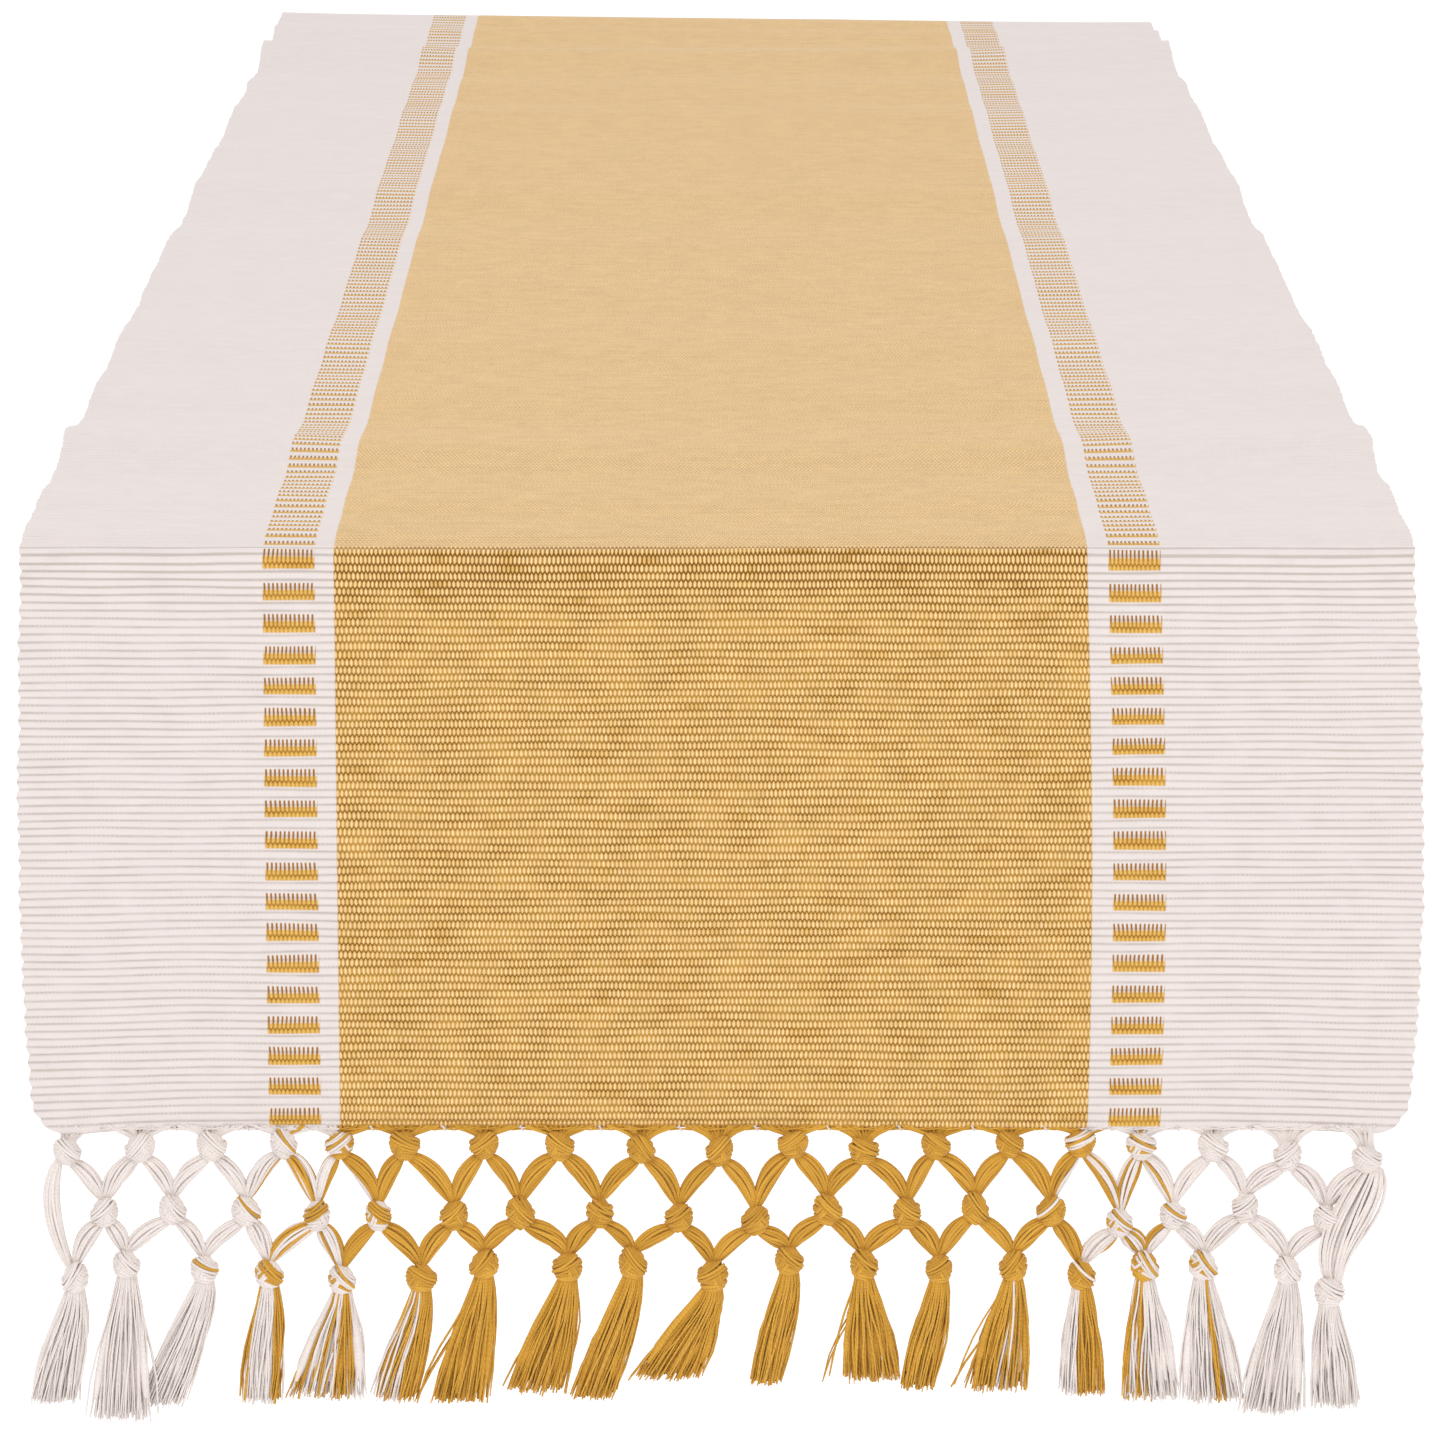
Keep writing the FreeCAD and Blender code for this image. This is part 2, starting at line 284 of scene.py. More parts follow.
def warp_beads_group():
    """Warp yarns where they pass over the ribs: rows of upright beads that interlock, as bricks do."""
    inputs = {
        "Across": ("NodeSocketFloat", 0.0),
        "Rib": ("NodeSocketFloat", 0.0),
        "Bead Pitch": ("NodeSocketFloat", BEAD_PITCH),
    }
    outputs = {
        "Height": "NodeSocketFloat",
        "Crown": "NodeSocketFloat",
        "Plain Crown": "NodeSocketFloat",
        "Between": "NodeSocketFloat",
        "Upright": "NodeSocketFloat",
        "Own Shade": "NodeSocketFloat",
        "Streak": "NodeSocketFloat",
    }
    group, wiring, start, finish = node_group("warp_beads", inputs, outputs)
    across, rib = start["Across"], start["Rib"]
    sway = wiring.stretched_noise(wiring.times(across, 90.0), wiring.times(rib, 0.22), 1.0)
    count = wiring.math("DIVIDE", across, start["Bead Pitch"])
    count = wiring.math("ADD", count, wiring.times(sway, 1.1))
    upright = wiring.spread(wiring.from_half(count), 0.22, 0.34)
    plain_crown = wiring.spread(wiring.from_half(rib), 0.5, 0.24)
    # Beads interlock: each groove bends up and down between the beads, by turns.
    interlock = wiring.math("COSINE", wiring.times(count, 2 * math.pi))
    groove = wiring.math("FLOORED_MODULO", wiring.math("ROUND", rib), 2.0)
    sign = wiring.math("SUBTRACT", wiring.times(groove, 0.3), 0.15)
    rib = wiring.math("ADD", rib, wiring.times(interlock, sign))
    row = wiring.math("FLOOR", rib)
    offset = wiring.times(wiring.math("FLOORED_MODULO", row, 2.0), 0.5)
    count = wiring.math("ADD", count, offset)
    sideways = wiring.times(wiring.from_half(count), 2.0)
    up = wiring.times(wiring.from_half(rib), 2.0)
    bead = wiring.times(wiring.spread(sideways, 0.85, 0.1), wiring.spread(up, 0.8, 0.15))
    bead_name = wiring.node("ShaderNodeCombineXYZ", {0: wiring.math("FLOOR", count), 1: row})
    own = wiring.node("ShaderNodeTexWhiteNoise", {"Vector": bead_name.outputs[0]}, noise_dimensions="2D")
    slub = wiring.stretched_noise(wiring.times(across, 700.0), wiring.times(rib, 0.28), 3.0)
    streak = wiring.stretched_noise(wiring.times(across, 75.0), wiring.times(row, 9.7), 2.0)
    shade = wiring.math(
        "ADD", wiring.times(own.outputs["Value"], 0.35), wiring.spread(slub, 0.25, 0.75, 0.0, 0.65)
    )
    # Height is each bead's relief for the bump and where the cloth paints highlight; Crown and Between
    # mark the grooves and the gaps between beads, where it paints shade.
    wiring.feed(finish["Height"], bead)
    wiring.feed(finish["Crown"], wiring.spread(up, 1.0, 0.56))
    wiring.feed(finish["Plain Crown"], plain_crown)
    wiring.feed(finish["Between"], wiring.spread(sideways, 0.5, 1.0))
    wiring.feed(finish["Upright"], upright)
    wiring.feed(finish["Own Shade"], shade)
    wiring.feed(finish["Streak"], streak)
    return group


def new_material(name):
    """A material, its wiring, and its shader to feed."""
    material = bpy.data.materials.new(name)
    material.use_nodes = True
    wiring = Wiring(material.node_tree)
    shader = next(n for n in material.node_tree.nodes if n.type == "BSDF_PRINCIPLED")
    return material, wiring, shader


def use_group(wiring, group, inputs):
    """The outputs of a node group that is fed with inputs."""
    made = wiring.tree.nodes.new("ShaderNodeGroup")
    made.node_tree = group
    for name, value in inputs.items():
        wiring.feed(made.inputs[name], value)
    return made.outputs


def matt_cotton(shader, sheen):
    """The finish that all the cotton shares."""
    shader.inputs["Roughness"].default_value = 0.86
    shader.inputs["Specular IOR Level"].default_value = 0.22
    shader.inputs["Sheen Weight"].default_value = sheen
    shader.inputs["Sheen Roughness"].default_value = 0.5


def yarn_material(name, colour, twist_shade_and_dark_tone, fibres, sheen=0.12):
    """Soft twisted cotton yarn, with a darker second colour that is painted shade in the twist's grooves
    and a darker tone that some yarns take at random.
    """
    material, wiring, shader = new_material(name)
    matt_cotton(shader, sheen)
    along = wiring.node("ShaderNodeUVMap", uv_map="UVMap").outputs[0]
    split = wiring.node("ShaderNodeSeparateXYZ", {0: along}).outputs
    turns = wiring.math("ADD", wiring.times(split[0], 26.0), split[1])
    groove = wiring.spread(wiring.from_half(turns), 0.12, 0.5)
    own = wiring.node("ShaderNodeNewGeometry").outputs["Random Per Island"]
    yarn = wiring.mix(wiring.times(own, 0.5), colour, twist_shade_and_dark_tone)
    # Painted shade in the twist's grooves.
    yarn = wiring.mix(wiring.times(groove, 0.3), yarn, twist_shade_and_dark_tone)
    fibre = use_group(wiring, fibres, {"Scale": 0.7, "Colour": yarn, "Variation": 0.2})
    height = wiring.math("SUBTRACT", fibre["Height"], groove)
    bump = wiring.node("ShaderNodeBump", {"Strength": 0.5, "Distance": 0.1 * MM, "Height": height})
    wiring.feed(shader.inputs["Base Color"], fibre["Colour"])
    wiring.feed(shader.inputs["Normal"], bump.outputs[0])
    return material


# The cloth's colours: beads, ground, matted spots and grooves of each part. The groove colours are
# painted shade, and the bead colours are the warp yarns' own light colour with painted highlight on the
# gold.
CREAM_CLOTH = ((222, 212, 208), (222, 212, 208), (219, 209, 205), (196, 185, 177))
GOLD_CLOTH = ((253, 214, 162), (208, 164, 80), (198, 150, 52), (120, 76, 2))
GOLD_DASHES = ((226, 186, 104), (206, 158, 68), (190, 138, 44), (144, 92, 20))


def band_colour(wiring, beads, crown, colours, bead_share, depth):
    """Colour of plain ribbed cloth: light beads, with painted highlight at their middles, on a darker
    ground, with painted shade in the grooves between the ribs and between the beads.

    colours are those of the beads, of the ground, of matted spots and of the grooves.
    depth is how strong the painted groove shade and the matted spots are: most just past the fold, least
    on the table.
    """
    light, ground, dull, deep = (linear(*colour) for colour in colours)
    own = wiring.math("SUBTRACT", 1.15, wiring.times(beads["Own Shade"], 0.6))
    matted = wiring.times(wiring.spread(beads["Streak"], 0.54, 0.7), 0.6)
    matted = wiring.times(matted, depth, clamp=True)
    # The beads' light colour is their own, with painted highlight at each bead's middle.
    bead = wiring.times(wiring.times(beads["Height"], own), bead_share, clamp=True)
    bead = wiring.times(bead, wiring.spread(matted, 0.0, 1.0, 1.0, 0.55))
    colour = wiring.mix(bead, wiring.mix(matted, ground, dull), light)
    # Painted shade in the grooves between the ribs and between the beads, uneven along them.
    uneven = wiring.times(wiring.spread(beads["Streak"], 0.32, 0.66, 0.5, 1.15), depth)
    dark = wiring.math("MAXIMUM", wiring.math("SUBTRACT", 1.0, crown),
                       wiring.times(beads["Between"], 0.5 * bead_share))
    return wiring.mix(wiring.times(dark, uneven, clamp=True), colour, deep)


def dash_mask(wiring, rib, beads):
    """1 on the short gold dashes: a toothed upper edge, then a solid bar."""
    turn = wiring.math("DIVIDE", wiring.math("SUBTRACT", rib, DASH_START), float(DASH_PERIOD))
    down = wiring.times(wiring.math("FRACT", turn), float(DASH_PERIOD))
    bar = wiring.between(down, 0.95, DASH_RIBS, 0.12)
    tops = wiring.times(wiring.between(down, 0.1, 1.0, 0.1), beads["Upright"])
    roots = wiring.times(wiring.between(down, 0.9, 1.35, 0.15), beads["Upright"])
    dark = wiring.math("MAXIMUM", tops, wiring.times(roots, 0.6))
    return wiring.math("MAXIMUM", bar, tops), dark


def cloth_material(fibres, warp_beads):
    """Ribbed cloth: cream with a wide gold middle and a row of gold dashes on each side of it."""
    material, wiring, shader = new_material("ribbed_cotton_cloth")
    matt_cotton(shader, 0.3)
    flat = wiring.node("ShaderNodeUVMap", uv_map="cloth").outputs[0]
    split = wiring.node("ShaderNodeSeparateXYZ", {0: flat}).outputs
    across, rib = split[0], split[1]
    beads = use_group(wiring, warp_beads, {"Across": across, "Rib": rib, "Bead Pitch": BEAD_PITCH})
    fold_rib = FOLD_Y / RIB_PITCH
    from_centre = wiring.math("ABSOLUTE", rib)
    # Painted shade in the grooves: less where the cloth lies on the table, most just past the fold.
    hanging = wiring.spread(from_centre, fold_rib - 1, fold_rib + 1.5, 0.4, 1.0)
    groove_shade_depth = wiring.times(wiring.spread(from_centre, fold_rib - 1, fold_rib + 1),
                         wiring.spread(from_centre, fold_rib + 2, fold_rib + 10, 1.1, 0.0))
    groove_shade_depth = wiring.math("ADD", hanging, groove_shade_depth)
    plain, beaded = beads["Plain Crown"], beads["Crown"]
    cream = band_colour(wiring, beads, plain, CREAM_CLOTH, 0.0, groove_shade_depth)
    gold = band_colour(wiring, beads, beaded, GOLD_CLOTH, 1.0, groove_shade_depth)
    # Painted sheen: the gold lying on the table is paler, as it looks at a grazing view.
    lying = wiring.spread(hanging, 0.4, 1.0, 0.45, 0.0)
    gold = wiring.mix(lying, gold, linear(222, 192, 148))
    dashes = band_colour(wiring, beads, beaded, GOLD_DASHES, 0.8, hanging)
    gold_band = wiring.between(across, *GOLD_BAND, 0.25 * MM)
    left = wiring.between(across, *LEFT_DASHES, 0.25 * MM)
    right = wiring.between(across, *RIGHT_DASHES, 0.25 * MM)
    stripes = wiring.math("ADD", left, right)
    dash, teeth = dash_mask(wiring, rib, beads)
    colour = wiring.mix(gold_band, cream, gold)
    colour = wiring.mix(wiring.times(stripes, dash), colour, dashes)
    colour = wiring.mix(wiring.times(stripes, teeth), colour, linear(152, 102, 38))
    fibre = use_group(wiring, fibres, {
        "Scale": 0.5, "Colour": colour, "Variation": wiring.spread(gold_band, 0.0, 1.0, 0.08, 0.22)})
    relief = wiring.times(beads["Height"], wiring.spread(gold_band, 0.0, 1.0, 0.1, 1.0))
    height = wiring.math("ADD", relief, wiring.times(fibre["Height"], 0.25))
    bump = wiring.node("ShaderNodeBump", {"Strength": 0.6, "Distance": 0.3 * MM, "Height": height})
    wiring.feed(shader.inputs["Base Color"], fibre["Colour"])
    wiring.feed(shader.inputs["Normal"], bump.outputs[0])
    return material


# ================================================================ the cloth
def eased(value, low, high):
    """0 below low and 1 above high, with a smooth rise between."""
    share = min(max((value - low) / (high - low), 0), 1)
    return share * share * (3 - 2 * share)


def along_cloth(distance):
    """(distance out from the centre, height) of the cloth's middle layer, and the way it faces."""
    if distance <= FOLD_Y:
        return Vector((distance, CLOTH_MIDDLE_Z)), Vector((0, 1))
    turn = (distance - FOLD_Y) / BEND_RADIUS
    if turn <= math.pi / 2:
        facing = Vector((math.sin(turn), math.cos(turn)))
        return Vector((FOLD_Y, DROP_TOP_Z)) + BEND_RADIUS * facing, facing
    fallen = distance - FOLD_Y - BEND_LENGTH
    return Vector((HANG_Y, DROP_TOP_Z - fallen)), Vector((1, 0))


def rib_wander(across, rib, dropped, end_seed):
    """How far a rib strays along the cloth: small waves, and a dip towards the low corners."""
    fine = noise.noise(Vector((across * 38, rib * 0.33, end_seed)))
    broad = noise.noise(Vector((across * 7, rib * 0.06, end_seed + 9)))
    edge = abs(across) / HALF_WIDTH
    dip = 1.7 * MM * dropped**3 * eased(edge, 0.72, 1.0)
    return 0.42 * MM * fine + 0.6 * MM * broad * min(1, (RIBS_PER_HALF - rib) / 6) + dip


def selvedge_pull(across, rib, dropped, to_hem, end_seed):
    """How far the cloth's sides draw in: scallops at each pair of ribs, waves and rounded corners."""
    side = math.copysign(1, across)
    edge = abs(across) / HALF_WIDTH
    scallop = 0.75 * MM * (1 - abs(math.sin(math.pi * rib / 2))) * eased(edge, 0.985, 1.0)
    waves = 0.6 * MM * (1 - dropped) * noise.noise(Vector((side * 5, rib * 0.085, end_seed)))
    jogs = 0.4 * MM * noise.noise(Vector((side * 7, rib * 0.31, end_seed)))
    corner = max(1 - to_hem / CORNER_HEIGHT, 0)
    rounding = CORNER_INSET * (1 - math.sqrt(max(1 - corner**2, 0)))
    taper = 2.0 * MM * dropped**4
    return -side * (scallop + eased(edge, 0.86, 1.0) * (waves + jogs + rounding + taper))


def drop_skew(across, dropped):
    """The drop spreads a little below the fold, and hangs slightly to the right."""
    flare = 2.7 * MM * math.sin(0.9 * math.pi * dropped**1.1)
    share = across / HALF_WIDTH
    return flare * share * abs(share) + 1.2 * MM * math.sin(0.75 * math.pi * dropped)


def table_wave(across, from_fold):
    """Height of the low waves that lie across the cloth, highest at its sides."""
    edge = 0.3 + 0.7 * (abs(across) / HALF_WIDTH) ** 2
    sway = 14 * MM * noise.noise(Vector((across * 6, 0.5, 2.5)))
    height = 0
    for crest, rise in TABLE_WAVES:
        away = from_fold + sway - crest * MM
        width = (16 + 0.06 * crest) * MM * (1 if away < 0 else 1.7)
        height += rise * MM * math.exp(-((away / width) ** 2))
    return height * edge


def bulge(across, distance, dropped, end_seed):
    """How far the cloth stands off its flat shape: low waves on the table, soft folds on the drop."""
    hanging = noise.noise(Vector((across * 8, distance * 5, end_seed + 4)))
    from_fold = FOLD_Y - distance
    lying = table_wave(across, from_fold) * eased(from_fold, 0, 12 * MM) * eased(distance, 0, 80 * MM)
    tipped = -0.0022 * across / HALF_WIDTH * eased(distance, FOLD_Y - 150 * MM, FOLD_Y)
    return lying + (tipped if end_seed > 0 else 0) + 2.0 * MM * dropped * hanging


def cloth_point(end, across, rib, layer):
    """Place of a point on the cloth; layer is 1 on its face and -1 on its back."""
    end_seed = 3.7 * ENDS[end]
    straight = rib * RIB_PITCH
    dropped = min(max((straight - FOLD_Y - BEND_LENGTH) / (DROP_TOP_Z - HEM_Z), 0), 1)
    distance = straight + rib_wander(across, rib, dropped, end_seed)
    place, facing = along_cloth(distance)
    phase = rib % 1
    crown = math.sin(math.pi * phase) ** 0.7 if 0.001 < phase < 0.999 else 0
    uneven = 1 + 0.3 * noise.noise(Vector((across * 30, math.floor(rib) * 3.1, end_seed)))
    half = HALF_THICKNESS + RIB_DEPTH * crown * uneven
    place = place + facing * (layer * half + bulge(across, straight, dropped, end_seed))
    to_hem = HALF_LENGTH - straight
    x = across + selvedge_pull(across, rib, dropped, to_hem, end_seed) + drop_skew(across, dropped)
    return Vector((x, ENDS[end] * place.x, place.y))


def column_place(index, columns):
    """Columns are even across the cloth, but for a narrow one along each selvedge."""
    selvedge = 1.3 * MM
    if index in (0, columns):
        return HALF_WIDTH * (1 if index else -1)
    share = (index - 1) / (columns - 2) * 2 - 1
    return share * (HALF_WIDTH - selvedge)


def ribbed_sheet(name, end, first_rib, last_rib, rows_per_rib, columns, material):
    """A closed two-layer stretch of the cloth, with a row of points on and between the ribs."""
    bm = bmesh.new()
    spot = bm.verts.layers.float_vector.new("spot_on_cloth")
    rows = (last_rib - first_rib) * rows_per_rib
    bmesh.ops.create_grid(bm, x_segments=columns, y_segments=rows, size=0.5)
    for vert in bm.verts:
        rib = first_rib + round((vert.co.y + 0.5) * rows) / rows_per_rib
        vert[spot] = Vector((column_place(round((vert.co.x + 0.5) * columns), columns), rib, 1))
    made = bmesh.ops.extrude_face_region(bm, geom=bm.faces[:], use_keep_orig=True)
    for vert in made["geom"]:
        if isinstance(vert, bmesh.types.BMVert):
            vert[spot].z = -1
            vert.co.z -= 0.1
    bmesh.ops.recalc_face_normals(bm, faces=bm.faces)
    for face in bm.faces:
        face.smooth = True
        if len({vert[spot].z for vert in face.verts}) == 2:
            for edge in face.edges:
                edge.smooth = False
    for vert in bm.verts:
        across, rib, layer = vert[spot]
        vert.co = cloth_point(end, across, rib, layer)
    if end == "front":
        bmesh.ops.reverse_faces(bm, faces=bm.faces)
    write_cloth_map(bm, spot, -ENDS[end])
    mesh = bpy.data.meshes.new(name)
    bm.to_mesh(mesh)
    bm.free()
    mesh.materials.append(material)
    return new_piece(name, mesh)


def write_cloth_map(bm, spot, direction):
    """The flat cloth: metres across it, and ribs along it, counted from its centre."""
    flat = bm.loops.layers.uv.new("cloth")
    for face in bm.faces:
        for loop in face.loops:
            across, rib, _ = loop.vert[spot]
            loop[flat].uv = (across, direction * rib)


def new_piece(name, mesh):
    """A mesh as an object of the scene."""
    piece = bpy.data.objects.new(name, mesh)
    bpy.context.scene.collection.objects.link(piece)
    return piece


# ================================================================ yarns
def even_place(index, count):
    """Place across the cloth of one of a row's evenly spaced knots."""
    return (index - (count - 1) / 2) * GROUP_PITCH


def row_places(end, shifts):
    """Where a row's knots are, across the cloth; the rear row is the front one turned round."""
    count = len(shifts)
    way = -ENDS[end]
    places = [even_place(i, count) + way * shifts[i] / 100 * GROUP_PITCH for i in range(count)]
    return [FRINGE_SPREAD * place for place in places]


def band_yarn(across, rng):
    """Cream or gold, as the cloth above is at that place."""
    if GOLD_BAND[0] < across < GOLD_BAND[1]:
        return GOLD
    dashed = LEFT_DASHES[0] < across < LEFT_DASHES[1] or RIGHT_DASHES[0] < across < RIGHT_DASHES[1]
    return GOLD if dashed and rng.random() < 0.35 else CREAM


def bend(corners, steps):
    """Points on a smooth curve that starts and ends at the outer two of four corners."""
    points = []
    for step in range(steps + 1):
        t = step / steps
        u = 1 - t
        point = u**3 * corners[0] + 3 * u * u * t * corners[1]
        points.append(point + 3 * u * t * t * corners[2] + t**3 * corners[3])
    return points


def yarn_mesh(name, yarns, roundness):
    """Round yarns as one mesh; each yarn is (points, radius or radii, colour)."""
    lines = bpy.data.curves.new(name, "CURVE")
    lines.dimensions = "3D"
    lines.bevel_depth = 1.0
    lines.bevel_resolution = roundness
    lines.use_fill_caps = True
    for material in YARNS:
        lines.materials.append(material)
    for points, radius, colour in yarns:
        spline = lines.splines.new("POLY")
        spline.points.add(len(points) - 1)
        for i, point in enumerate(points):
            spline.points[i].co = (*point, 1)
            spline.points[i].radius = radius[i] if isinstance(radius, list) else radius
        spline.material_index = colour
        spline.use_smooth = True
    holder = bpy.data.objects.new(name, lines)
    mesh = bpy.data.meshes.new_from_object(holder)
    bpy.data.objects.remove(holder)
    bpy.data.curves.remove(lines)
    return mesh


def add_core(bm, centre, size, colour):
    """A ball inside a knot, so that nothing shows through between its yarns."""
    made = bmesh.ops.create_icosphere(bm, subdivisions=2, radius=1.0)
    for vert in made["verts"]:
        vert.co = centre + Vector((vert.co[i] * size[i] for i in range(3)))
    for face in {face for vert in made["verts"] for face in vert.link_faces}:
        face.material_index = colour
        face.smooth = True


def yarn_piece(name, end, yarns, cores, body, nodes, fine_yarns=()):
    """Makes a fringe piece from its yarns and hidden cores, on its body and in place of its nodes."""
    side = ENDS[end]
    bm = bmesh.new()
    for part, roundness in ((yarns, 1), (fine_yarns, 0)):
        if part:
            placed = [([Vector((p.x, side * p.y, p.z)) for p in points], r, c) for points, r, c in part]
            lines = yarn_mesh(f"{name}_lines", placed, roundness)
            bm.from_mesh(lines)
            bpy.data.meshes.remove(lines)
    for centre, size, colour in cores:
        add_core(bm, Vector((centre.x, side * centre.y, centre.z)), size, colour)
    mesh = bpy.data.meshes.new(name)
    bm.to_mesh(mesh)
    bm.free()
    for material in YARNS:
        mesh.materials.append(material)
    piece = new_piece(name, mesh)
    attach(piece, body)
    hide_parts(*nodes)
    return piece


# ================================================================ knots
def wrap(centre, size, taper, axis, band, count, reach, swell, colours, rng):
    """Yarns side by side round a ball-shaped knot.

    band is the lowest and highest latitude about the axis; reach is how far, in degrees,
    they go each way round from the front; past that they tuck into the knot.
    """
    axis = axis.normalized()
    ahead = (Vector((0, 1, 0)) - axis.y * axis).normalized()
    beside = axis.cross(ahead)
    whole = reach >= 180
    steps = 20 if whole else 14
    spacing = (math.asin(band[1]) - math.asin(band[0])) / count
    yarns = []
    for k in range(count):
        latitude = math.asin(band[0]) + (k + 0.5) * spacing + rng.uniform(-0.12, 0.12) * spacing
        crest = math.cos(math.pi * (k + 0.5 - count / 2) / (count + 0.4))
        lift = 0.9 + swell * crest + rng.uniform(0, 0.015)
        slew = rng.uniform(-0.1, 0.1)
        points, radii = [], []
        for step in range(steps + 1):
            turn = math.radians(reach) * (2 * step / steps - 1)
            share = abs(2 * step / steps - 1)
            hidden = 0 if whole else eased(share, 0.5, 1.0)
            tilt = latitude * (1 - 0.35 * hidden) + slew * math.sin(turn)
            ring = math.cos(tilt) * (math.cos(turn) * ahead + math.sin(turn) * beside)
            place = (math.sin(tilt) * axis + ring) * lift * (1 - 0.4 * hidden)
            width = 1 + taper * place.z
            place = Vector((place.x * size[0] * width, place.y * size[1], place.z * size[2]))
            points.append(centre + place)
            radii.append(0.7 * spacing * size[0] * (1 - 0.3 * hidden))
        yarns.append((points, radii, colours(k / count, rng)))
    return yarns


def knot(centre, size, taper, hand, lean, words, rng):
    """An overhand knot: level wraps below, and a lobe that crosses them slantwise above."""
    tilt = Euler((0, lean, 0)).to_matrix()
    below = tilt @ Vector((0.3 * hand, 0, 1))
    lobe = tilt @ Vector((0.6 * hand, 0.14, 0.8))
    shoulder = tilt @ Vector((-0.8 * hand, 0.3, 0.55))
    lower_colours, upper_colours = (WORD_COLOURS[word] for word in words)
    yarns = wrap(centre, size, taper, below, (-0.9, 0.45), 7, 180, -0.02, lower_colours, rng)
    yarns += wrap(centre, size, taper, lobe, (0.02, 0.72), 5, 100, 0.3, upper_colours, rng)
    yarns += wrap(centre, size, taper, shoulder, (0.3, 0.85), 4, 80, 0.1, lower_colours, rng)
    core = (centre, [0.88 * s for s in size], yarns[2][2])
    return yarns, core


def one_colour(colour):
    """The same colour for every yarn."""
    return lambda share, rng: colour


def mostly(colour, other, odd_share):
    """A colour with a few yarns of the other one among it."""
    return lambda share, rng: other if 0.3 <= share < 0.3 + odd_share else colour


WORD_COLOURS = {
    "c": one_colour(CREAM),
    "m": mostly(CREAM, GOLD, 0.3),
    "n": mostly(GOLD, CREAM, 0.25),
    "g": one_colour(GOLD),
}


# ================================================================ strands between knots
def strand(corners, end_inside, width, depth, thin, count, colours, rng, looseness=0.12, steps=11):
    """A loose bundle of yarns along a bent line, widest in its middle and pinched at its ends.

    It runs on to end_inside, within the knot below. Most yarns lie side by side round it;
    three thick ones fill its inside.
    """
    line = bend(corners, steps) + [end_inside]
    twist = rng.uniform(-0.9, 0.9)
    yarns = []
    for k in range(count + 3):
        inside = k >= count
        angle = 2 * math.pi * k / count + rng.uniform(-0.15, 0.15)
        reach = rng.uniform(1 - looseness, 1 + 0.5 * looseness)
        if inside:
            angle, reach = 0.0, 0.5 * (k - count - 1)
        drift = 0 if inside else rng.uniform(-0.1, 0.1)
        turning = 0 if inside else twist
        points, radii = [], []
        for step, place in enumerate(line):
            t = min(step / steps, 1)
            ahead = line[min(step + 1, steps + 1)] - line[max(step - 1, 0)]
            beside = ahead.cross(Vector((0, 1, 0))).normalized()
            open_share = thin + (1 - thin) * math.sin(math.pi * t**0.9) ** 0.75
            turn = angle + turning * (t - 0.5)
            shift = beside * width / 2 * math.cos(turn) * reach * open_share
            shift += beside * drift * width * math.sin(2 * math.pi * t) * 0.5
            shift += Vector((0, depth / 2 * math.sin(turn) * reach * open_share, 0))
            points.append(place + shift)
            thin_yarn = STRAND_YARN_RADIUS * (0.85 + 0.25 * open_share)
            radii.append(0.36 * depth * open_share if inside else thin_yarn)
        yarns.append((points, radii, colours(0.5 + 0.5 * math.cos(angle) * reach, rng)))
    return yarns


def crossing_strand(upper, lower, colours, rng):
    """From the foot of a knot to the top of one in the row below, bowed slightly outwards."""
    way = math.copysign(1, lower.x - upper.x)
    start = upper + Vector((way * 0.8 * MM, 0, -3.0 * MM))
    finish = lower + Vector((-way * 0.5 * MM, 0, 3.7 * MM))
    fall = start.z - finish.z
    span = abs(finish.x - start.x)
    first = start + Vector((way * rng.uniform(0.42, 0.56) * span, 0.4 * MM, -0.2 * fall))
    last = finish + Vector((-way * rng.uniform(0.12, 0.2) * span, 0.4 * MM, 0.44 * fall))
    width = rng.uniform(3.8, 5.0) * MM
    end_inside = lower + Vector((0, 0, STRAND_END_ABOVE))
    return strand([start, first, last, finish], end_inside, width, 3.0 * MM, 0.3, 14, colours, rng)


# ================================================================ hem
def hem_fan(centre, rng):
    """Yarns that leave the hem all along one group, run close under it and turn into its first knot."""
    yarns = []
    count = 26
    limit = HALF_WIDTH - CORNER_INSET
    for k in range(count):
        share = (k + 0.5) / count * 2 - 1
        home = min(max(centre.x + share * GROUP_PITCH * 0.5, -limit), limit)
        span = home - centre.x
        out = HANG_Y + rng.uniform(-0.6, 0.6) * MM + 0.5 * MM * abs(share)
        start = Vector((home, out, HEM_Z + 0.9 * MM))
        under = Vector((centre.x + 0.8 * span, out, HEM_Z - 0.5 * MM * rng.uniform(0.3, 1.2)))
        sweep = Vector((centre.x + 0.4 * span, out, HEM_Z - rng.uniform(0.2, 1.5) * MM))
        finish = centre + Vector((share * 2.0 * MM, 0.3 * MM, 2.4 * MM))
        yarns.append((bend([start, under, sweep, finish], 9), HEM_YARN_RADIUS, band_yarn(home, rng)))
    return yarns


